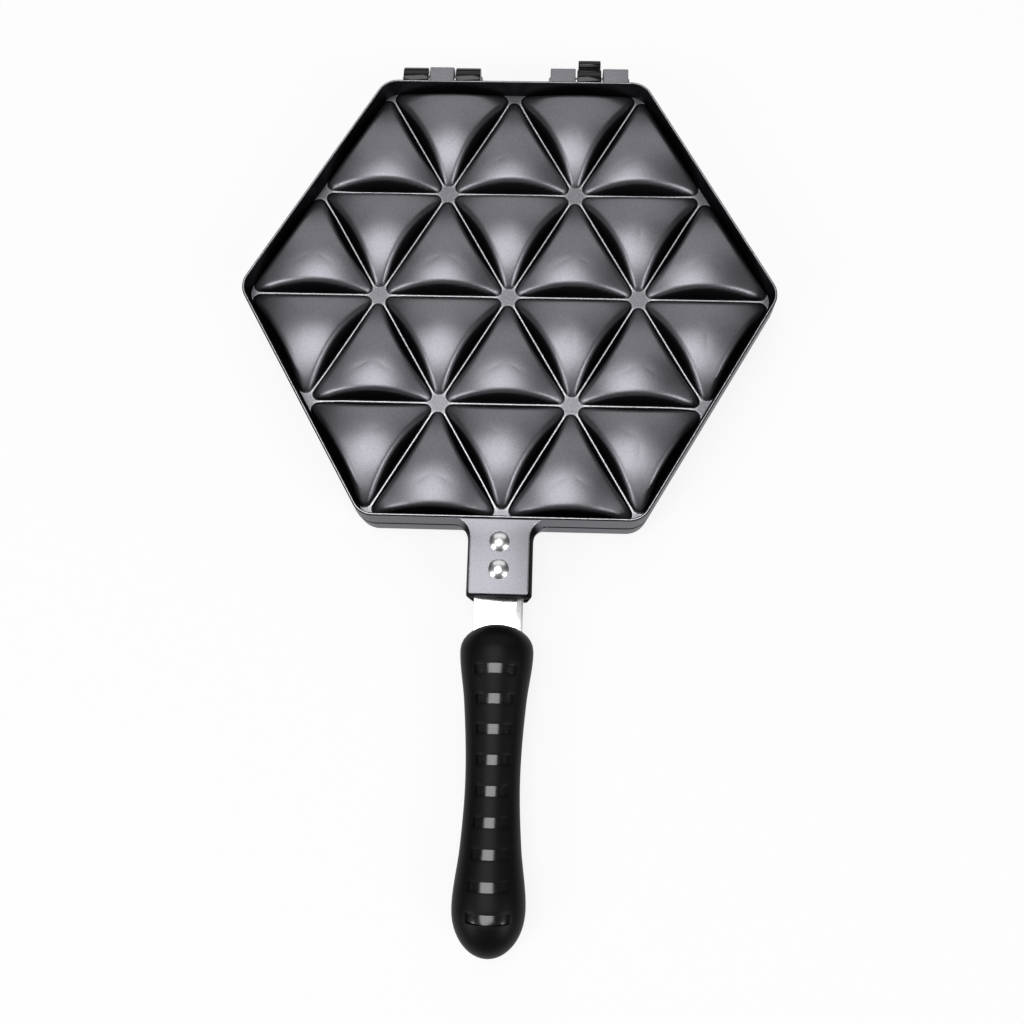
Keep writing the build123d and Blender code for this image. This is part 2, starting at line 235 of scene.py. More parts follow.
SHADE_END, SHADE_FADE = 1.52 * MM, 0.8 * MM    # painted shade reaches this far in from a wall's foot and on the wall, where it is this far under the dome
WALL_CLEAR = 1.0 * MM                        # and on the wall, where it is this far under the dome
# Painted shade: a mask that darkens the coat down the pillows' walls and along their foot, where
# shade falls
foot_shade = reckon(lattice, "DIVIDE", reckon(lattice, "SUBTRACT", SHADE_END, depth), SHADE_FADE)
on_wall = reckon(lattice, "DIVIDE", reckon(lattice, "SUBTRACT", crown, wall), WALL_CLEAR)
on_pillow = reckon(lattice, "GREATER_THAN", depth, 0.0)
shade_reach = reckon(lattice, "MULTIPLY", on_pillow, reckon(lattice, "MAXIMUM", on_wall, foot_shade))
shade_amount = add_node(lattice, "ShaderNodeMapRange", {"Value": shade_reach}).outputs[0]
marked = add_node(lattice, "GeometryNodeStoreNamedAttribute",
                  {"Geometry": given["Geometry"], "Name": "valley", "Value": shade_amount},
                  data_type="FLOAT").outputs[0]
height = reckon(lattice, "ADD", pillow_height, given["Base height"])
lift = add_node(lattice, "ShaderNodeCombineXYZ", {"Z": height}).outputs[0]
pillow = add_node(lattice, "GeometryNodeSetPosition",
                  {"Geometry": marked, "Offset": lift}).outputs[0]

side, rows = given["Pocket side"], given["Rows along a side"]
index = add_node(lattice, "GeometryNodeInputIndex").outputs[0]
point_down = reckon(lattice, "MODULO", index, 2.0)
third = reckon(lattice, "DIVIDE", reckon(lattice, "ADD", point_down, 1.0), 3.0)
double = reckon(lattice, "MULTIPLY", rows, 2.0)
pair = reckon(lattice, "FLOOR", reckon(lattice, "DIVIDE", index, 2.0))
row = reckon(lattice, "ADD", third, reckon(
    lattice, "SUBTRACT", reckon(lattice, "MODULO", pair, double), rows))
column = reckon(lattice, "ADD", third, reckon(lattice, "SUBTRACT", reckon(
    lattice, "FLOOR", reckon(lattice, "DIVIDE", pair, double)), double))
place_x = reckon(lattice, "MULTIPLY", side, reckon(
    lattice, "ADD", column, reckon(lattice, "MULTIPLY", row, 0.5)))
place_y = reckon(lattice, "MULTIPLY", side, reckon(lattice, "MULTIPLY", row, SQRT3 / 2))
rise_line = reckon(lattice, "MULTIPLY", place_x, SQRT3)
slant = reckon(lattice, "MULTIPLY", 0.5, reckon(
    lattice, "MAXIMUM",
    reckon(lattice, "ABSOLUTE", reckon(lattice, "ADD", rise_line, place_y)),
    reckon(lattice, "ABSOLUTE", reckon(lattice, "SUBTRACT", rise_line, place_y))))
edge = reckon(lattice, "MULTIPLY", side, reckon(lattice, "MULTIPLY", rows, SQRT3 / 2))
within = reckon(lattice, "LESS_THAN", reckon(
    lattice, "MAXIMUM", slant, reckon(lattice, "ABSOLUTE", place_y)), edge)
spot = add_node(lattice, "ShaderNodeCombineXYZ", {"X": place_x, "Y": place_y}).outputs[0]
spot_count = reckon(lattice, "MULTIPLY", reckon(lattice, "MULTIPLY", double, double), 4.0)
spots = add_node(lattice, "GeometryNodePoints", {"Count": spot_count, "Position": spot}).outputs[0]
turn_about = add_node(lattice, "ShaderNodeCombineXYZ",
                      {"Z": reckon(lattice, "MULTIPLY", point_down, pi)}).outputs[0]
pattern = add_node(lattice, "GeometryNodeInstanceOnPoints", {
    "Points": spots, "Selection": within, "Instance": pillow, "Rotation": turn_about}).outputs[0]
real = add_node(lattice, "GeometryNodeRealizeInstances", {0: pattern}).outputs[0]
sheet = add_node(lattice, "GeometryNodeMergeByDistance",
                 {"Geometry": real, "Distance": 0.02 * MM}).outputs[0]
for angle in (30, 90, 150):
    outward = (cos(radians(angle)), sin(radians(angle)), 0.0)
    reach_out = add_node(lattice, "ShaderNodeVectorMath", {0: position, 1: outward},
                         operation="DOT_PRODUCT").outputs["Value"]
    share = add_node(lattice, "ShaderNodeMapRange", {
        "Value": reckon(lattice, "ABSOLUTE", reach_out),
        "From Min": given["Border start"], "From Max": edge}).outputs[0]
    push = reckon(lattice, "MULTIPLY", reckon(lattice, "SIGN", reach_out), reckon(
        lattice, "MULTIPLY", share, given["Border reach"]))
    shift = add_node(lattice, "ShaderNodeVectorMath", {0: outward, "Scale": push},
                     operation="SCALE").outputs[0]
    sheet = add_node(lattice, "GeometryNodeSetPosition",
                     {"Geometry": sheet, "Offset": shift}).outputs[0]
finish_tree(lattice, sheet, given, result)


def new_finish(name):
    """A new material: itself, its tree, its shader and the piece's own coordinates."""
    material = bpy.data.materials.new(name)
    material.use_nodes = True
    tree = material.node_tree
    place = tree.nodes.new("ShaderNodeTexCoord").outputs["Object"]
    return material, tree, tree.nodes["Principled BSDF"], place


def noise(tree, place, scale, detail=2.0, rough=0.5):
    """A cloudy pattern from 0 to 1, finer the larger its scale."""
    return add_node(tree, "ShaderNodeTexNoise", {
        "Vector": place, "Scale": scale, "Detail": detail, "Roughness": rough}).outputs["Fac"]


def spread(tree, value, low, high, to_low, to_high):
    """The value carried over from one range to another, and held inside it."""
    return add_node(tree, "ShaderNodeMapRange", {
        "Value": value, "From Min": low, "From Max": high,
        "To Min": to_low, "To Max": to_high}).outputs[0]


def blend(tree, share, a, b):
    """Colour a where the share is 0, colour b where it is 1."""
    return add_node(tree, "ShaderNodeMix", {"Factor": share, "A": a, "B": b},
                    data_type="RGBA").outputs["Result"]


def relief(tree, height, strength, distance):
    """The surface's normal, made uneven by this height."""
    return add_node(tree, "ShaderNodeBump", {
        "Height": height, "Strength": strength, "Distance": distance}).outputs[0]


def coated_casting():
    """Satin dark grey coat with a metallic speckle, worn on the ribs, with painted highlight lines
    and painted shade in the valleys.
    """
    grey, light_grey = (0.158, 0.155, 0.171, 1), (0.182, 0.178, 0.195, 1)
    fleck, black = (0.28, 0.275, 0.298, 1), (0.018, 0.018, 0.02, 1)
    bare, bright = (0.40, 0.396, 0.42, 1), (0.75, 0.744, 0.775, 1)
    unshaded_sheen, shaded_sheen = (0.6, 0.6, 0.61, 1), (0.04, 0.04, 0.045, 1)
    material, tree, shader, place = new_finish("coated_casting")
    land = add_node(tree, "ShaderNodeAttribute", attribute_name="land").outputs["Fac"]
    valley = add_node(tree, "ShaderNodeAttribute", attribute_name="valley").outputs["Fac"]
    speckle = noise(tree, place, 1500.0, 3.0, 0.6)
    cloud = noise(tree, place, 38.0, 3.0, 0.6)
    coat = blend(tree, spread(tree, cloud, 0.35, 0.65, 0.0, 1.0), grey, light_grey)
    coat = blend(tree, spread(tree, speckle, 0.35, 0.65, 0.0, 0.35), coat, fleck)
    # painted shade: the coat's colour goes towards black where the shade mask is high
    coat = blend(tree, spread(tree, valley, 0.2, 1.0, 0.0, 0.86), coat, black)
    metal = blend(tree, spread(tree, speckle, 0.35, 0.65, 0.0, 1.0), bare, bright)
    rough = reckon(tree, "ADD", spread(tree, cloud, 0.3, 0.7, 0.37, 0.41), reckon(
        tree, "MULTIPLY", land, spread(tree, speckle, 0.3, 0.7, 0.02, 0.10)))
    # painted shade in the reflections too: Specular Tint falls to near black where the shade mask is
    # high
    feed(tree, shader, {
        "Base Color": blend(tree, land, coat, metal), "Metallic": 1.0, "Roughness": rough,
        "Specular Tint": blend(tree, valley, unshaded_sheen, shaded_sheen),
        "Normal": relief(tree, speckle, 0.4, 0.02 * MM)})
    return material


def glossy_knuckle():
    """The lower half's knuckles: the same coat sprayed thick, almost black and glossier."""
    material, tree, shader, place = new_finish("glossy_knuckle")
    grain = noise(tree, place, 900.0)
    feed(tree, shader, {
        "Base Color": blend(tree, grain, (0.004, 0.004, 0.005, 1), (0.010, 0.010, 0.011, 1)),
        "Roughness": reckon(tree, "MULTIPLY_ADD", grain, 0.08, 0.11),
        "Specular IOR Level": 0.32, "Normal": relief(tree, grain, 0.02, 0.01 * MM)})
    return material


COATS = [coated_casting(), glossy_knuckle()]
BODY_COAT, KNUCKLE_COAT = 0, 1     # their places on each casting

OUTER_RINGS = (0, 0.15, 0.35, 0.65, 1.1, 1.6, 2.1, 2.6, 3.0, 3.4, 3.8, 4.2, 4.7, 5.4, 6.5, 8.1,
               10.3, 13.0)         # millimetres in from the foot
INNER_RINGS = (0, 0.4, 1.2, 2.2, 3.0, 3.6, 4.3, 5.4, 7.5, 10.5)
HALF_RIB, POCKET_HALF_RIB = 0.34 * MM, 0.5 * MM
pillow_skin = grown(pocket_cell("pillow cell", HALF_RIB, 2.9 * MM, OUTER_RINGS, True),
                    lattice, PILLOW_SIZES, COATS[BODY_COAT])
pocket_inset = POCKET_HALF_RIB + SKIN / cos(WALL_LEAN) - FIELD_HEIGHT * tan(WALL_LEAN)
POCKET_SIZES = dict(PILLOW_SIZES)
POCKET_SIZES["Base height"] = 0.0
POCKET_SIZES["Rise"] = FIELD_HEIGHT + PILLOW_SIZES["Rise"] - SKIN
POCKET_SIZES["Dome radius"] = PILLOW_SIZES["Dome radius"] - SKIN
pocket_skin = grown(pocket_cell("pocket cell", pocket_inset, 4.3 * MM, INNER_RINGS, False),
                    lattice, POCKET_SIZES, COATS[BODY_COAT])


def half_skin():
    """Pillows outside and pockets inside, joined round their outer edge into one closed skin."""
    work = bmesh.new()
    work.from_mesh(pillow_skin)
    work.from_mesh(pocket_skin)
    bmesh.ops.bridge_loops(work, edges=[e for e in work.edges if e.is_boundary])
    for face in work.faces:
        face.material_index = BODY_COAT
    for point in work.verts:
        out = point.co.xy.length
        if out > CORNER_REACH:
            point.co.xy *= CORNER_REACH / out
    work.verts.layers.float.remove(work.verts.layers.float["depth"])
    return work


def join(work, part):
    """Adds the part's skin to the work."""
    loose = bpy.data.meshes.new("part")
    part.to_mesh(loose)
    part.free()
    work.from_mesh(loose)
    bpy.data.meshes.remove(loose)


def cast_on(work, part, land, valley=0.0, coat=BODY_COAT):
    """Adds a part to the casting. Land says how bare each of its points is, the shade value how much
    painted shade it gets.

    Either is a number, a rule for a point's place, or None where the part has its own values."""
    for name, value in (("land", land), ("valley", valley)):
        if value is not None:
            layer = part.verts.layers.float.new(name)
            for point in part.verts:
                point[layer] = value(point.co) if callable(value) else value
    for face in part.faces:
        face.material_index = coat
    join(work, part)


def swept_ring(rings):
    """Closed skin through rings of equal count, the last joined back to the first."""
    part = bmesh.new()
    rows = [[part.verts.new(point) for point in ring] for ring in rings]
    for low, high in zip(rows, rows[1:] + rows[:1]):
        for k in range(len(low)):
            n = (k + 1) % len(low)
            part.faces.new((low[k], low[n], high[n], high[k]))
    bmesh.ops.recalc_face_normals(part, faces=part.faces[:])
    return part


def prism(outline, low, high, edge=0.0, steps=3, holes=(), pull_in=0.0):
    """Flat outline with any holes, raised from low to high, its sharp edges rounded."""
    part = bmesh.new()
    rims = []
    for loop in (outline, *holes):
        points = [part.verts.new((x, y, low)) for x, y in loop]
        rims += [part.edges.new(pair) for pair in zip(points, points[1:] + points[:1])]
    bmesh.ops.triangle_fill(part, edges=rims, use_beauty=True)
    bmesh.ops.dissolve_limit(part, angle_limit=0.01, verts=part.verts[:], edges=part.edges[:])
    raised = bmesh.ops.extrude_face_region(part, geom=part.faces[:], use_keep_orig=True)["geom"]
    for point in raised:
        if isinstance(point, bmesh.types.BMVert):
            point.co.z = high
            point.co.x -= pull_in * (1 if point.co.x > 0 else -1)
    bmesh.ops.recalc_face_normals(part, faces=part.faces[:])
    if edge:
        sharp = [e for e in part.edges if e.calc_face_angle(0) > radians(30)]
        bmesh.ops.bevel(part, geom=sharp, offset=edge, segments=steps, profile=0.5, affect="EDGES")
    return part


def rounding(centre, radius, start, end, steps):
    """Points of a round in a section or a plan, angles in degrees."""
    turns = [radians(start + (end - start) * k / steps) for k in range(steps + 1)]
    return [(centre[0] + radius * cos(t), centre[1] + radius * sin(t)) for t in turns]


def circle(x, y, radius, count=32):
    """Points of a whole round, the first not repeated."""
    return rounding((x, y), radius, 0, 360 * (count - 1) / count, count - 1)


def hexagon_ring(flat, z):
    """Rounded hexagon at this flat distance, with its corner arcs on the common hubs."""
    points, arc_steps = [], 10
    for corner in range(6):
        middle = radians(60 * corner)
        hub, r = CORNER_HUB / cos(radians(30)), flat - CORNER_HUB
        for step in range(arc_steps + 1):
            swing = middle + radians(-30 + 60 * step / arc_steps)
            points.append((hub * cos(middle) + r * cos(swing), hub * sin(middle) + r * sin(swing), z))
    return points


INNER_DRAFT, OUTER_DRAFT = 5, 2    # lean of the rim's two walls, in degrees
RECESS = 0.75 * MM                 # each half's share of the dark line where they meet


def rim():
    """The rim wall, drafted and rounded, with painted shade on all of it but its crest and the outer
    wall.
    """
    inner_top = FIELD_FLAT + (HALF_HEIGHT - FIELD_HEIGHT) * tan(radians(INNER_DRAFT))
    outer_top = RIM_FLAT - HALF_HEIGHT * tan(radians(OUTER_DRAFT))
    r_in, r_out, r_part, near = 0.5 * MM, 0.6 * MM, 0.35 * MM, 0.03 * MM
    seat, base = FIELD_FLAT + 0.7 * MM, 0.02 * MM
    line = [(FIELD_FLAT - 0.3 * MM, base), (FIELD_FLAT - 0.2 * MM, FIELD_HEIGHT - 1.5 * MM)]
    line += [(FIELD_FLAT + 0.05 * MM, FIELD_HEIGHT + 0.4 * MM)]
    line += [(inner_top - near, HALF_HEIGHT - r_in - near)]
    line += rounding((inner_top + r_in, HALF_HEIGHT - r_in), r_in, 180 - INNER_DRAFT, 90, 6)
    line += [(inner_top + r_in + near, HALF_HEIGHT), (outer_top - r_out - near, HALF_HEIGHT)]
    line += rounding((outer_top - r_out, HALF_HEIGHT - r_out), r_out, 90, OUTER_DRAFT, 6)
    line += [(outer_top, HALF_HEIGHT - r_out - near), (RIM_FLAT, RECESS + r_part + near)]
    line += rounding((RIM_FLAT - r_part, RECESS + r_part), r_part, 0, -90, 6)
    line += [(seat + near, RECESS), (seat, RECESS - near), (seat, base + near), (seat - near, base)]
    part = swept_ring([hexagon_ring(flat, z) for flat, z in line])
    # painted shade: every ring but those of the crest and the outer wall is marked dark, for the
    # shade on the inner wall and at the parting line
    dark = part.verts.layers.float.new("valley")
    ring_size = len(part.verts) // len(line)
    unshaded_levels = (HALF_HEIGHT, HALF_HEIGHT - r_out - near, RECESS + r_part + near)
    for count, point in enumerate(part.verts):
        z = line[count // ring_size][1]
        bare = min(abs(z - level) for level in unshaded_levels) < 0.001 * MM
        point[dark] = 0.0 if bare else 1.0
    return part


def rim_crest_wear_and_highlight(point):
    """Bare on the crest alone: partly wear, partly a painted highlight line."""
    return 1.0 if point.z > HALF_HEIGHT - 0.01 * MM else 0.0


NECK_TOP = 10.8 * MM
NECK_WALL = 2.4 * MM
NECK_FRONT = 130.4 * MM            # pan centre to the neck's free end


def neck():
    """Lug with concave flares into the rim and leaning sides, hollowed from below."""
    half, flare, spread_out, turn, tuck = 13.5 * MM, 7.0 * MM, 6.2 * MM, 1.4 * MM, 1.2 * MM
    right = [(half + spread_out, -RIM_FLAT + tuck)]
    for step in range(9):
        bend = radians(90 * step / 8)
        right.append((half + spread_out * (1 - sin(bend)), -RIM_FLAT - flare * (1 - cos(bend))))
    right += rounding((half - turn, -NECK_FRONT + turn), turn, 0, -90, 4)
    outline = right + [(-x, y) for x, y in right[::-1]]
    part = prism(outline, 0.0, NECK_TOP, pull_in=1.45 * MM)
    for point in part.verts:
        near_rim = min(1.0, max(0.0, 1 + (point.co.y + RIM_FLAT) / flare))
        if point.co.z > 0:
            point.co.y += NECK_TOP * tan(radians(OUTER_DRAFT)) * near_rim
        else:
            point.co.z = RECESS * near_rim
    floor = min(part.faces, key=lambda face: face.calc_center_median().z)
    bmesh.ops.inset_region(part, faces=[floor], thickness=0.05 * MM)
    for point in floor.verts:
        across = min(abs(point.co.x), half) - NECK_WALL
        point.co.x = across if point.co.x > 0 else -across
        point.co.y = min(max(point.co.y, -NECK_FRONT + NECK_WALL), -RIM_FLAT - tuck)
    for point in bmesh.ops.extrude_face_region(part, geom=[floor])["geom"]:
        if isinstance(point, bmesh.types.BMVert):
            point.co.z = NECK_TOP - NECK_WALL
    bmesh.ops.delete(part, geom=[floor], context="FACES_ONLY")
    bmesh.ops.remove_doubles(part, verts=part.verts[:], dist=0.01 * MM)
    bmesh.ops.recalc_face_normals(part, faces=part.faces[:])
    crest = [e for e in part.edges if all(v.co.z > NECK_TOP - 0.01 * MM for v in e.verts)]
    bmesh.ops.bevel(part, geom=crest, offset=0.5 * MM, segments=4, profile=0.5, affect="EDGES")
    foot = [e for e in part.edges if all(v.co.z < RECESS + 0.05 * MM for v in e.verts)]
    bmesh.ops.bevel(part, geom=foot, offset=0.35 * MM, segments=2, profile=0.5, affect="EDGES")
    return part


def neck_bare_and_highlight(point):
    """Bare-metal colour along the crest's turn as a painted highlight, and thinly coated on the flat.
    """
    if abs(point.z - NECK_TOP + 0.15 * MM) < 0.12 * MM:
        return 0.6
    return 0.35 if point.z < 0.2 * MM else 0.01


def neck_painted_shade(point):
    """Painted shade down the walls, fading out along the flares into the rim's outer wall."""
    on_wall = 0.3 * MM < point.z < NECK_TOP - 0.35 * MM
    return min(1.0, max(0.0, (-RIM_FLAT - point.y) / (3.0 * MM))) if on_wall else 0.0


RIVET_Y = (-108.9 * MM, -120.1 * MM)
TO_UPPER = Matrix.Translation((0, PAN_Y, PARTING))
TO_LOWER = TO_UPPER @ Matrix.Scale(-1, 4, (0, 0, 1))
HALVES = (("upper", TO_UPPER), ("lower", TO_LOWER))


def moved(part, matrix):
    """The part put in its place, its faces turned back where that mirrors it."""
    bmesh.ops.transform(part, matrix=matrix, verts=part.verts[:])
    if matrix.determinant() < 0:
        bmesh.ops.reverse_faces(part, faces=part.faces[:])
    return part


def pan_half():
    """What the two castings share: lattice, rim, neck and the bosses under the rivets."""
    work = half_skin()
    cast_on(work, rim(), rim_crest_wear_and_highlight, valley=None)
    cast_on(work, neck(), neck_bare_and_highlight, neck_painted_shade)
    for y in RIVET_Y:
        cast_on(work, prism(circle(0, y, 4.4 * MM), 2.6 * MM, NECK_TOP - 1.0 * MM), 0.2)
    return work


PIN_RADIUS = 2.0 * MM
PIN_PLAY = 0.06 * MM               # all round the pin in the upper half
KNUCKLE_RADIUS = 5.5 * MM
KNUCKLE_SPAN = 35.0 * MM           # a whole hinge, side to side
KNUCKLE_MIDDLE = 10.8 * MM
KNUCKLE_GAP = 0.8 * MM
SIDE_WIDTH = (KNUCKLE_SPAN - KNUCKLE_MIDDLE) / 2 - KNUCKLE_GAP
SIDE_OFFSET = (KNUCKLE_SPAN - SIDE_WIDTH) / 2
HINGE_X = 33.3 * MM                # middle of each hinge, to either side
ROOT = RIM_FLAT - 1.3 * MM         # where lugs and webs start, inside the rim wall
RELIEF = 0.3 * MM                  # how far they stay off the parting plane
RELIEF_TURN = 3.1                  # the same in degrees round the pin
ACROSS = TO_UPPER @ Matrix(((0, 0, 1, 0), (1, 0, 0, 0), (0, 1, 0, 0), (0, 0, 0, 1)))


def hinge_part(work, outline, x, width, edge, land, coat, play=0.0):
    """A section in Y and Z as wide as the lug or knuckle is, with the pin's bore through it."""
    bore = circle(HINGE_REACH, 0, PIN_RADIUS + play)
    part = prism(outline, x - width / 2, x + width / 2, edge, 3, [bore])
    cast_on(work, moved(part, ACROSS), land, coat=coat)


def upper_lug(work, x, width):
    """Flat on top, out past the pin, and round underneath."""
    nose = 3.3 * MM
    drop = 90 - degrees(asin(nose / KNUCKLE_RADIUS))
    outline = [(ROOT, RELIEF), (ROOT, KNUCKLE_RADIUS), (HINGE_REACH + nose, KNUCKLE_RADIUS)]
    outline += rounding((HINGE_REACH, 0), KNUCKLE_RADIUS, drop, -180 - RELIEF_TURN, 30)
    hinge_part(work, outline, x, width, 0.35 * MM, 0.14, BODY_COAT, PIN_PLAY)


def lower_knuckle(work, x, width):
    """Round over the pin, on a web that stays below the parting plane."""
    outline = [(HINGE_REACH, -KNUCKLE_RADIUS), (ROOT, -KNUCKLE_RADIUS), (ROOT, -RELIEF)]
    outline += rounding((HINGE_REACH, 0), KNUCKLE_RADIUS, 180 + RELIEF_TURN, -80, 30)
    hinge_part(work, outline, x, width, 0.45 * MM, 0.0, KNUCKLE_COAT)


def opening_stop(work):
    """Rounded tab behind the right middle knuckle, with two fine ridges: the open lid's rest."""
    reach, radius, half, slope = 6.7 * MM, 2.4 * MM, 5.0 * MM, radians(35)
    ridge_radius, ridge_step, ridge_half = 0.6 * MM, 2.2 * MM, 4.6 * MM
    outline = rounding((reach, 0), radius, -90, 90, 10) + [(2.6 * MM, radius), (2.6 * MM, -radius)]
    parts = [prism(outline, HINGE_X - half, HINGE_X + half, 0.4 * MM)]
    for count in range(2):
        ridge = circle(reach - count * ridge_step, radius, ridge_radius, 16)
        parts.append(prism(ridge, HINGE_X - ridge_half, HINGE_X + ridge_half, 0.15 * MM))
    leant = Matrix.Translation((HINGE_REACH, 0, 0)) @ Matrix.Rotation(slope, 4, "Z")
    for part in parts:
        cast_on(work, moved(part, ACROSS @ leant), 0.0, coat=KNUCKLE_COAT)


def piece_from(name, part, materials, body, nodes):
    """A finished piece on its body, standing for its CAD nodes, with curves smooth, flats flat."""
    mesh = bpy.data.meshes.new(name)
    part.to_mesh(mesh)
    part.free()
    mesh.shade_smooth()
    mesh.set_sharp_from_angle(angle=radians(42))
    for material in materials:
        mesh.materials.append(material)
    piece = bpy.data.objects.new(name, mesh)
    bpy.context.scene.collection.objects.link(piece)
    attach(piece, body)
    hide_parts(*nodes)
    return piece


upper, lower = moved(pan_half(), TO_UPPER), moved(pan_half(), TO_LOWER)
upper_lug(upper, -HINGE_X, KNUCKLE_MIDDLE)
for hand in (-1, 1):
    upper_lug(upper, HINGE_X + hand * SIDE_OFFSET, SIDE_WIDTH)
    lower_knuckle(lower, -HINGE_X + hand * SIDE_OFFSET, SIDE_WIDTH)
lower_knuckle(lower, HINGE_X, KNUCKLE_MIDDLE)
opening_stop(lower)
piece_from("upper_pan_casting", upper, COATS, "upper_half", ["upper_pan"])
piece_from("lower_pan_casting", lower, COATS, "lower_half", ["lower_pan"])


# The two hinge pins: plain steel rods with rounded ends, pressed through the lower half's
# knuckles and turning in the upper half's lugs.

def polished_metal(name, dark, light, rough, scratch, lay):
    """Bare metal: a little colour drift, fine scratches along the lay, and a roughness to suit."""
    material, tree, shader, place = new_finish(name)
    along = add_node(tree, "ShaderNodeMapping", {"Vector": place, "Scale": lay}).outputs[0]
    grain = noise(tree, along, 1.0, 4.0)
    feed(tree, shader, {
        "Base Color": blend(tree, grain, (dark, dark, dark * 1.02, 1),
                            (light, light, light * 1.01, 1)),
        "Metallic": 1.0, "Roughness": reckon(tree, "MULTIPLY_ADD", grain, scratch, rough),
        "Normal": relief(tree, grain, 0.15, 0.01 * MM)})
    return material


def turned(outline, steps=48):
    """Closed skin of a section turned once about Z. The outline runs from axis to axis."""
    part = bmesh.new()
    rows = []
    for radius, z in outline:
        round_steps = steps if radius else 1
        turns = [2 * pi * k / steps for k in range(round_steps)]
        rows.append([part.verts.new((radius * cos(t), radius * sin(t), z)) for t in turns])
    for low, high in zip(rows, rows[1:]):
        for k in range(steps):
            n = (k + 1) % steps
            corners = [low[k % len(low)], low[n % len(low)], high[n % len(high)], high[k % len(high)]]
            part.faces.new(list(dict.fromkeys(corners)))
    bmesh.ops.recalc_face_normals(part, faces=part.faces[:])
    return part


pin_steel = polished_metal("pin_steel", dark=0.32, light=0.46, rough=0.25, scratch=0.15,
                           lay=(300, 2500, 2500))
PIN_END = 0.8 * MM                 # rounding of the rod's ends
pin_reach = KNUCKLE_SPAN / 2 + PIN_END
pin_tip = rounding((PIN_RADIUS - PIN_END, pin_reach - PIN_END), PIN_END, 0, 90, 5)
pin_line = [(0, -pin_reach)] + [(r, -z) for r, z in pin_tip[::-1]] + pin_tip + [(0, pin_reach)]
for hand_name, hand in (("left", -1), ("right", 1)):
    lying = Matrix.Translation((hand * HINGE_X, hinge[1], PARTING)) @ Matrix.Rotation(pi / 2, 4, "Y")
    piece_from(f"{hand_name}_hinge_pin_rod", moved(turned(pin_line), lying), [pin_steel],
               "lower_half", [f"{hand_name}_hinge_pin"])


# The straps: polished steel flat bar, sheared to a tang that runs down inside the grip, its edges
# tumbled smooth. Each is held to its neck by two rivets and in its grip by two screws.

STRAP_FLOOR = 0.6 * MM             # parting plane to the strap's inner face
STRAP_THICK = 2.0 * MM
strap_low, strap_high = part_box("upper_strap")
STRAP_HALF = (strap_high.x - strap_low.x) / 2
STRAP_BACK, STRAP_FRONT = strap_high.y - PAN_Y, strap_low.y - PAN_Y
SHOULDER, TANG_START = -147.0 * MM, -160.0 * MM    # it narrows between these
TANG_HALF = 6.0 * MM
STRAP_CORNER = 2 * MM
strap_steel = polished_metal("strap_steel", dark=0.82, light=0.92, rough=0.07, scratch=0.10,
                             lay=(3500, 60, 3500))
strap_side = [(STRAP_HALF - STRAP_CORNER, STRAP_BACK)]
strap_side += rounding((STRAP_HALF - STRAP_CORNER, STRAP_BACK - STRAP_CORNER),
                       STRAP_CORNER, 80, 0, 5)
strap_side += [(STRAP_HALF, SHOULDER + 0.8 * MM), (STRAP_HALF - 0.25 * MM, SHOULDER - 0.5 * MM)]
strap_side += [(TANG_HALF + 0.25 * MM, TANG_START + 0.5 * MM), (TANG_HALF, TANG_START - 0.8 * MM)]
strap_side += rounding((TANG_HALF - STRAP_CORNER, STRAP_FRONT + STRAP_CORNER),
                       STRAP_CORNER, 0, -90, 5)
strap_plan = strap_side + [(-x, y) for x, y in strap_side[::-1]]
for half_name, place in HALVES:
    bar = prism(strap_plan, STRAP_FLOOR, STRAP_FLOOR + STRAP_THICK, 0.3 * MM, 4)
    piece_from(f"{half_name}_strap_bar", moved(bar, place), [strap_steel], f"{half_name}_half",
               [f"{half_name}_strap"])


# The rivets: two to a strap, chromed steel with a domed head on the neck and a flat upset tail
# in the strap. Set from one pattern, a pitch apart along the strap.

RIVET_SIZES = {"Count": 2, "First": RIVET_Y[0], "Pitch": RIVET_Y[0] - RIVET_Y[1]}
fastener_row, given, result = new_tree("row along the handle", RIVET_SIZES)
back_by = reckon(fastener_row, "MULTIPLY", given["Pitch"], -1.0)
start = add_node(fastener_row, "ShaderNodeCombineXYZ", {"Y": given["First"]}).outputs[0]
step_along = add_node(fastener_row, "ShaderNodeCombineXYZ", {"Y": back_by}).outputs[0]
places = add_node(fastener_row, "GeometryNodeMeshLine", {
    "Count": given["Count"], "Start Location": start, "Offset": step_along}).outputs[0]
set_on = add_node(fastener_row, "GeometryNodeInstanceOnPoints",
                  {"Points": places, "Instance": given["Geometry"]}).outputs[0]
finish_tree(fastener_row, set_on, given, result)


def fasteners(kind, shape, sizes, material):
    """The like fasteners of each half, in a row along the handle."""
    for half_name, place in HALVES:
        name = f"{half_name}_{kind}s"
        seed_mesh = bpy.data.meshes.new(name)
        part = shape()
        part.to_mesh(seed_mesh)
        part.free()
        row_mesh = grown(bpy.data.objects.new(name, seed_mesh), fastener_row, sizes, material)
        whole = bmesh.new()
        whole.from_mesh(row_mesh)
        piece_from(name, moved(whole, place), [material], f"{half_name}_half",
                   [f"{half_name}_{kind}_rear", f"{half_name}_{kind}_front"])


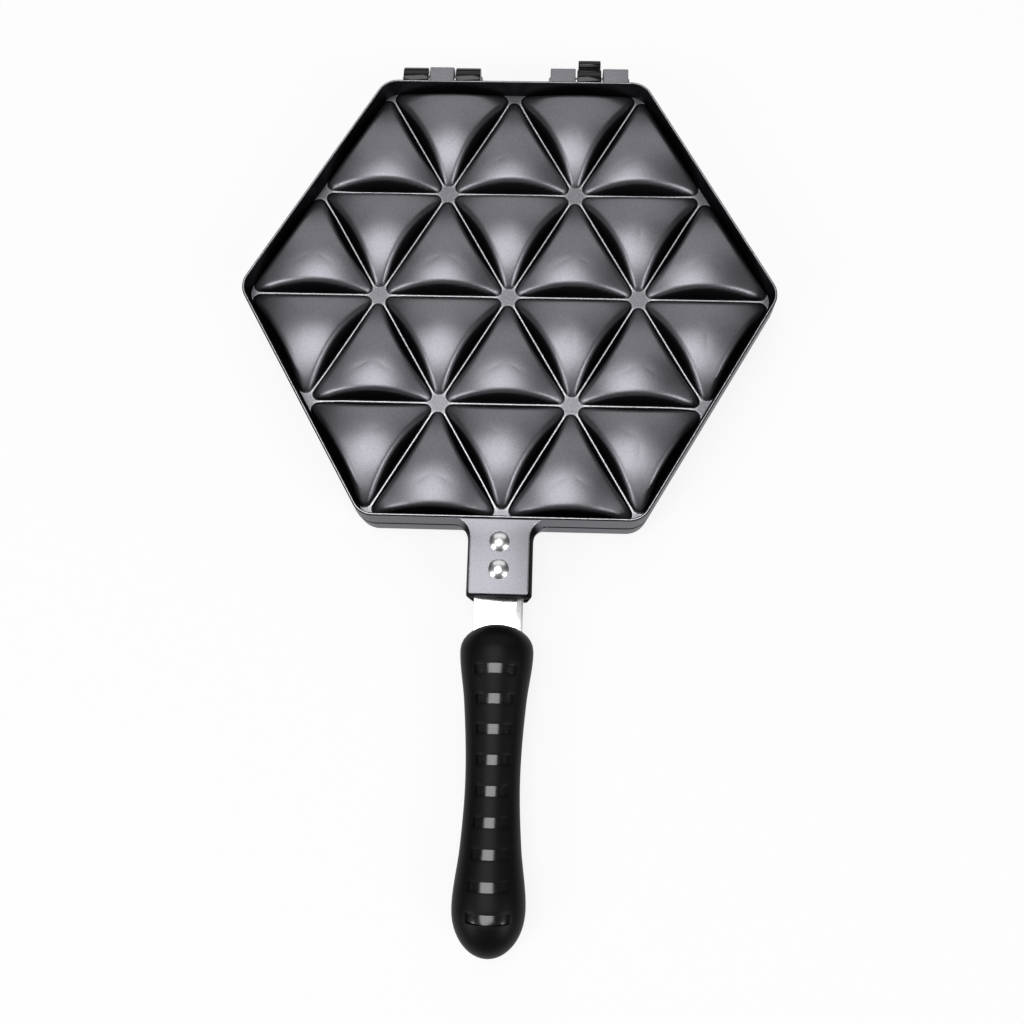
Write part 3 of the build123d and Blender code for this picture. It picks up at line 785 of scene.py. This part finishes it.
def rivet_shape():
    """Domed head over the neck, plain shank, and the tail that fills the strap's hole."""
    head, dome, shank, tail = 4.2 * MM, 1.5 * MM, 2.5 * MM, 3.4 * MM
    under, steps = NECK_TOP - 0.05 * MM, 12
    ball = (head ** 2 + dome ** 2) / (2 * dome)
    swell = degrees(asin(head / ball))
    crown = rounding((0, NECK_TOP + dome - ball), ball, 90 - swell, 90, steps)
    outline = [(0, STRAP_FLOOR - 0.15 * MM), (tail - 0.5 * MM, STRAP_FLOOR - 0.15 * MM)]
    outline += [(tail - 0.1 * MM, STRAP_FLOOR + 0.05 * MM), (shank, STRAP_FLOOR + 1.2 * MM)]
    outline += [(shank, under), (head - 0.12 * MM, under), (head, NECK_TOP + 0.08 * MM)]
    outline += [(r, z + 0.05 * MM * (1 - k / steps)) for k, (r, z) in enumerate(crown)]
    outline[-1] = (0, NECK_TOP + dome)
    return turned(outline, 64)


rivet_chrome = polished_metal("rivet_chrome", dark=0.68, light=0.84, rough=0.26, scratch=0.06,
                              lay=(900, 900, 900))
fasteners("rivet", rivet_shape, RIVET_SIZES, rivet_chrome)


# The grip sleeves: matt black rubbery plastic moulded over the core, half round, waisted for the
# fingers, with nine windows across the crown that show the glossy core beneath.

CROWN_RATIO = 0.8                  # height of the section beside its half width
SLEEVE = 2.0 * MM
GRIP_MARKS = ((14.9, -151.9), (12.6, -172.0), (10.95, -206.0), (12.1, -228.0), (14.4, -250.3))
WIDTHS, PLACES = np.array(GRIP_MARKS[::-1]).T * MM     # half widths, and where along the grip
grip_low, grip_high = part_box("upper_grip_sleeve")
GRIP_FRONT, GRIP_END = grip_high.y - PAN_Y, grip_low.y - PAN_Y
WINDOW_COUNT, WINDOW_FIRST, WINDOW_STEP = 9, -159.6 * MM, 11.78 * MM
WINDOW_LENGTH, WINDOW_SHARE, WINDOW_TILT = 3.9 * MM, 0.6, radians(18)
WINDOWS = [WINDOW_FIRST - k * WINDOW_STEP for k in range(WINDOW_COUNT)]
SIDE_STEPS, CROWN_STEPS = 9, 5     # of a section below its window, and over it up to the middle
OVER_STRAP = 0.15 * MM             # room between the strap and the sleeve's tip


def grip_half(y, inset):
    """Half width of the grip at y, between its rounded ends. The core stays full further back."""
    widths, places = WIDTHS - inset, PLACES.copy()
    places[0] -= 2 * inset
    if y >= places[-1]:
        share = (y - places[-1]) / (GRIP_FRONT - inset - places[-1])
        return widths[-1] * sqrt(max(0.0, 1 - share ** 2))
    if y <= places[0]:
        share = (places[0] - y) / (places[0] - GRIP_END - inset)
        return widths[0] * sqrt(max(0.0, 1 - share ** 2))
    slopes = np.gradient(widths, places)
    slopes[0] = slopes[-1] = 0.0
    k = int(np.clip(np.searchsorted(places, y) - 1, 0, len(places) - 2))
    step = places[k + 1] - places[k]
    t = (y - places[k]) / step
    return float((1 + 2 * t) * (1 - t) ** 2 * widths[k] + t * (1 - t) ** 2 * step * slopes[k]
                 + t * t * (3 - 2 * t) * widths[k + 1] + t * t * (t - 1) * step * slopes[k + 1])


def grip_stations():
    """Places along the grip, close together at its ends and at each window's two edges."""
    marks = []
    gap, end_steps = WINDOW_STEP - WINDOW_LENGTH, 14
    for count, y in enumerate(WINDOWS):
        marks += [y + WINDOW_LENGTH / 2 - WINDOW_LENGTH * k / 4 for k in range(5)]
        if count < WINDOW_COUNT - 1:
            marks += [y - WINDOW_LENGTH / 2 - gap * k / 5 for k in range(1, 5)]
    shares = [sin(pi / 2 * k / end_steps) for k in range(1, end_steps + 1)]
    front = [marks[0] + (GRIP_FRONT - marks[0]) * share for share in shares]
    return front[::-1] + marks + [marks[-1] + (GRIP_END - marks[-1]) * share for share in shares]


def grip_section(y, inset, edge):
    """Right side of the half-round section at y, from its rounded lower edge up to the crown."""
    half = grip_half(y, inset)
    height = half * CROWN_RATIO
    at_strap = half < STRAP_HALF and y > PLACES[-1]
    floor = STRAP_FLOOR + (OVER_STRAP if at_strap else 0.0)
    turns = [asin(min(1.0, floor / max(height, 1e-9)))]
    window_turn = pi / 2 - asin(WINDOW_SHARE)
    turns += [turns[0] + (window_turn - turns[0]) * k / SIDE_STEPS for k in range(1, SIDE_STEPS + 1)]
    turns += [window_turn + (pi / 2 - window_turn) * k / CROWN_STEPS
              for k in range(1, CROWN_STEPS + 1)]
    points = []
    for turn in turns:
        x, z = half * cos(turn), height * sin(turn)
        rise = max(0.0, z - floor)
        if rise < edge:
            x -= edge - sqrt(edge ** 2 - (edge - rise) ** 2)
        points.append((max(x, 0.0), max(z, floor)))
    return points


def grip_grid(inset, edge):
    """Rows of points of the grip's skin, bowed so that the rows follow the tilt of the windows."""
    middle, span = (WINDOWS[0] + WINDOWS[-1]) / 2, (WINDOWS[0] - WINDOWS[-1]) / 2
    fade_length = 8 * MM
    rows = []
    for y in grip_stations():
        y = min(max(y, GRIP_END + inset), GRIP_FRONT - inset)
        section = grip_section(y, inset, edge)
        crown = section[-1][1]
        turn = min(1.0, max(-1.0, (y - middle) / span))
        fade = min(1.0, max(0.0, (GRIP_FRONT - y) / fade_length))
        fade *= min(1.0, max(0.0, (y - GRIP_END) / fade_length))
        bow = tan(WINDOW_TILT) * turn ** 3 * fade
        right = []
        for k, (x, z) in enumerate(section):
            bowed = y + bow * (z - crown)
            x, z = grip_section(bowed, inset, edge)[k]
            right.append((x, bowed, z))
        rows.append(right + [(-x, q, z) for x, q, z in right[-2::-1]])
    return rows


def sleeve_skin():
    """Outer skin with the windows left out of it, before it is given its thickness."""
    part = bmesh.new()
    points = [[part.verts.new(p) for p in row] for row in grip_grid(0.0, 1.0 * MM)]
    stations = grip_stations()
    across = len(points[0]) - 1
    for k in range(len(points) - 1):
        middle = (stations[k] + stations[k + 1]) / 2
        in_window = min(abs(middle - window) for window in WINDOWS) < WINDOW_LENGTH / 2
        for j in range(across):
            if in_window and SIDE_STEPS <= j < across - SIDE_STEPS:
                continue
            part.faces.new((points[k][j], points[k + 1][j], points[k + 1][j + 1], points[k][j + 1]))
    bmesh.ops.remove_doubles(part, verts=part.verts[:], dist=0.01 * MM)
    bmesh.ops.recalc_face_normals(part, faces=part.faces[:])
    if sum(f.normal.z for f in part.faces) < 0:
        bmesh.ops.reverse_faces(part, faces=part.faces[:])
    return part


def moulded(name, dark, light, rough, shine, grain_scale, depth):
    """Moulded black plastic with its grain."""
    material, tree, shader, place = new_finish(name)
    grain = noise(tree, place, grain_scale, 3.0)
    patches = noise(tree, place, 60.0)
    feed(tree, shader, {
        "Base Color": blend(tree, patches, (dark, dark, dark * 1.05, 1),
                            (light, light, light * 1.05, 1)),
        "Roughness": reckon(tree, "MULTIPLY_ADD", grain, 0.1, rough),
        "Specular IOR Level": shine, "Normal": relief(tree, grain, 0.3, depth)})
    return material


sleeve_rubber = moulded("grip_sleeve", dark=0.0015, light=0.004, rough=0.36, shine=0.11,
                        grain_scale=1800.0, depth=0.02 * MM)
for half_name, place in HALVES:
    sleeve = piece_from(f"{half_name}_grip_sleeve_cover", moved(sleeve_skin(), place),
                        [sleeve_rubber], f"{half_name}_half",
                        [f"{half_name}_grip_sleeve"])
    wall = sleeve.modifiers.new("wall", "SOLIDIFY")
    wall.thickness = SLEEVE - 0.05 * MM
    wall.offset = -1.0
    wall.use_even_offset = True
    soft = sleeve.modifiers.new("soft edges", "BEVEL")
    soft.width = 0.28 * MM
    soft.segments = 3
    soft.limit_method = "ANGLE"
    soft.angle_limit = radians(50)


# The grip cores: glossy black hard plastic moulded round the tang, flat on the side where the
# halves meet. Each shows through the windows of its sleeve.

core_plastic = moulded("grip_core", dark=0.002, light=0.004, rough=0.13, shine=0.75,
                       grain_scale=700.0, depth=0.005 * MM)


def core_body():
    """The core's skin, closed over the flat side just above the strap's face."""
    part = bmesh.new()
    lift = 0.1 * MM
    points = []
    for row in grip_grid(SLEEVE, 0.4 * MM):
        lifted = [(x, y, z + (lift if z < STRAP_FLOOR + 0.01 * MM else 0.0)) for x, y, z in row]
        points.append([part.verts.new(point) for point in lifted])
    for low_row, high_row in zip(points, points[1:]):
        for j in range(len(low_row)):
            n = (j + 1) % len(low_row)
            part.faces.new((low_row[j], high_row[j], high_row[n], low_row[n]))
    bmesh.ops.remove_doubles(part, verts=part.verts[:], dist=0.01 * MM)
    bmesh.ops.recalc_face_normals(part, faces=part.faces[:])
    return part


for half_name, place in HALVES:
    piece_from(f"{half_name}_grip_core_body", moved(core_body(), place), [core_plastic],
               f"{half_name}_half", [f"{half_name}_grip_core"])


# The grip screws: zinc-plated countersunk screws with a cross slot, two to a grip, driven
# through the tang into the core from the flat side. Set with the same pattern as the rivets.

SCREW_SIZES = {"Count": 2, "First": -170.0 * MM, "Pitch": 76.0 * MM}


def screw_shape():
    """Countersunk head with its cross slot cut in, and a plain shank below it."""
    head, shank, face, slot_depth = 2.9 * MM, 1.5 * MM, STRAP_FLOOR - 0.12 * MM, 0.5 * MM
    long, wide = 2.2 * MM, 0.45 * MM
    cross = [(wide, long), (wide, wide), (long, wide), (long, -wide), (wide, -wide), (wide, -long)]
    cross += [(-x, -y) for x, y in cross]
    part = prism(circle(0, 0, head), face, face + slot_depth, 0.08 * MM, 2, [cross])
    under = face + slot_depth - 0.05 * MM
    outline = [(0, under), (head - 0.3 * MM, under), (shank, face + 1.5 * MM)]
    outline += [(shank, STRAP_FLOOR + 5.3 * MM), (0, STRAP_FLOOR + 5.7 * MM)]
    join(part, turned(outline, 32))
    return part


screw_steel = polished_metal("screw_steel", dark=0.50, light=0.68, rough=0.18, scratch=0.12,
                             lay=(1500, 1500, 1500))
fasteners("grip_screw", screw_shape, SCREW_SIZES, screw_steel)


# Camera and studio: the view from above the grips, a pale floor, and lamps placed where the
# pillows' reflections show them. The world is bright to the camera only.

camera = bpy.data.objects.new("camera", bpy.data.cameras.new("camera"))
camera.location = (0.01879, -0.12399, 0.46792)
camera.rotation_euler = Euler([radians(a) for a in (13.2148, 1.4166, 1.7220)], "XYZ")
camera.data.sensor_width = 36.0
camera.data.lens = 39.612
bpy.context.scene.collection.objects.link(camera)
bpy.context.scene.camera = camera

FLOOR_HALF, FLOOR_DROP = 4, 0.5 * MM
floor_mesh = bpy.data.meshes.new("floor")
floor_corners = [(x * FLOOR_HALF, y * FLOOR_HALF, -FLOOR_DROP)
                 for x, y in ((-1, -1), (1, -1), (1, 1), (-1, 1))]
floor_mesh.from_pydata(floor_corners, [], [(0, 1, 2, 3)])
floor = bpy.data.objects.new("floor", floor_mesh)
bpy.context.scene.collection.objects.link(floor)

GLOW_SHARE = 0.85                  # of the floor's paper, to rays that come to it straight
paper = bpy.data.materials.new("floor_paper")
paper.use_nodes = True
sheet_tree = paper.node_tree
plain = sheet_tree.nodes["Principled BSDF"]
feed(sheet_tree, plain, {"Base Color": (0.8, 0.8, 0.8, 1), "Roughness": 0.9})
glow = add_node(sheet_tree, "ShaderNodeEmission", {"Strength": 1.0}).outputs[0]
ray = sheet_tree.nodes.new("ShaderNodeLightPath").outputs
direct = reckon(sheet_tree, "ADD", ray["Is Camera Ray"], reckon(
    sheet_tree, "ADD", ray["Is Glossy Ray"], ray["Is Transmission Ray"]))
glow_share = reckon(sheet_tree, "MULTIPLY", reckon(sheet_tree, "MINIMUM", direct, 1.0), GLOW_SHARE)
mixed = add_node(sheet_tree, "ShaderNodeMixShader", {0: glow_share, 1: plain.outputs[0], 2: glow})
feed(sheet_tree, sheet_tree.nodes["Material Output"], {"Surface": mixed.outputs[0]})
floor_mesh.materials.append(paper)

WORLD_DIM = 0.08                   # strength of the world as the object meets it
world = bpy.data.worlds.new("studio")
bpy.context.scene.world = world
world.use_nodes = True
around = world.node_tree
to_camera = around.nodes.new("ShaderNodeLightPath").outputs["Is Camera Ray"]
strength = reckon(around, "MULTIPLY_ADD", to_camera, 1 - WORLD_DIM, WORLD_DIM)
feed(around, around.nodes["Background"], {"Color": (0.9, 0.9, 0.92, 1), "Strength": strength})


def soft_lamp(name, place, aim, size, watts):
    """A rectangular lamp at its place, turned to what it lights."""
    lamp = bpy.data.lights.new(name, "AREA")
    lamp.shape = "RECTANGLE"
    lamp.size, lamp.size_y = size
    lamp.energy = watts
    fixture = bpy.data.objects.new(name, lamp)
    fixture.location = place
    fixture.rotation_euler = (Vector(aim) - Vector(place)).to_track_quat("-Z", "Y").to_euler()
    bpy.context.scene.collection.objects.link(fixture)


PAN_MIDDLE = (0, 0.077, 0)
soft_lamp("overhead", (-0.305, -0.07, 2.48), PAN_MIDDLE, (1.6, 1.6), 38)
soft_lamp("back", (0.0, 1.75, 1.45), PAN_MIDDLE, (3.2, 1.5), 15)
soft_lamp("left", (-1.32, -0.95, 1.15), (0, 0, 0), (0.75, 0.75), 13)
soft_lamp("right", (1.32, -0.95, 1.15), (0, 0, 0), (0.75, 0.75), 13)

bpy.context.scene.view_settings.view_transform = "Standard"
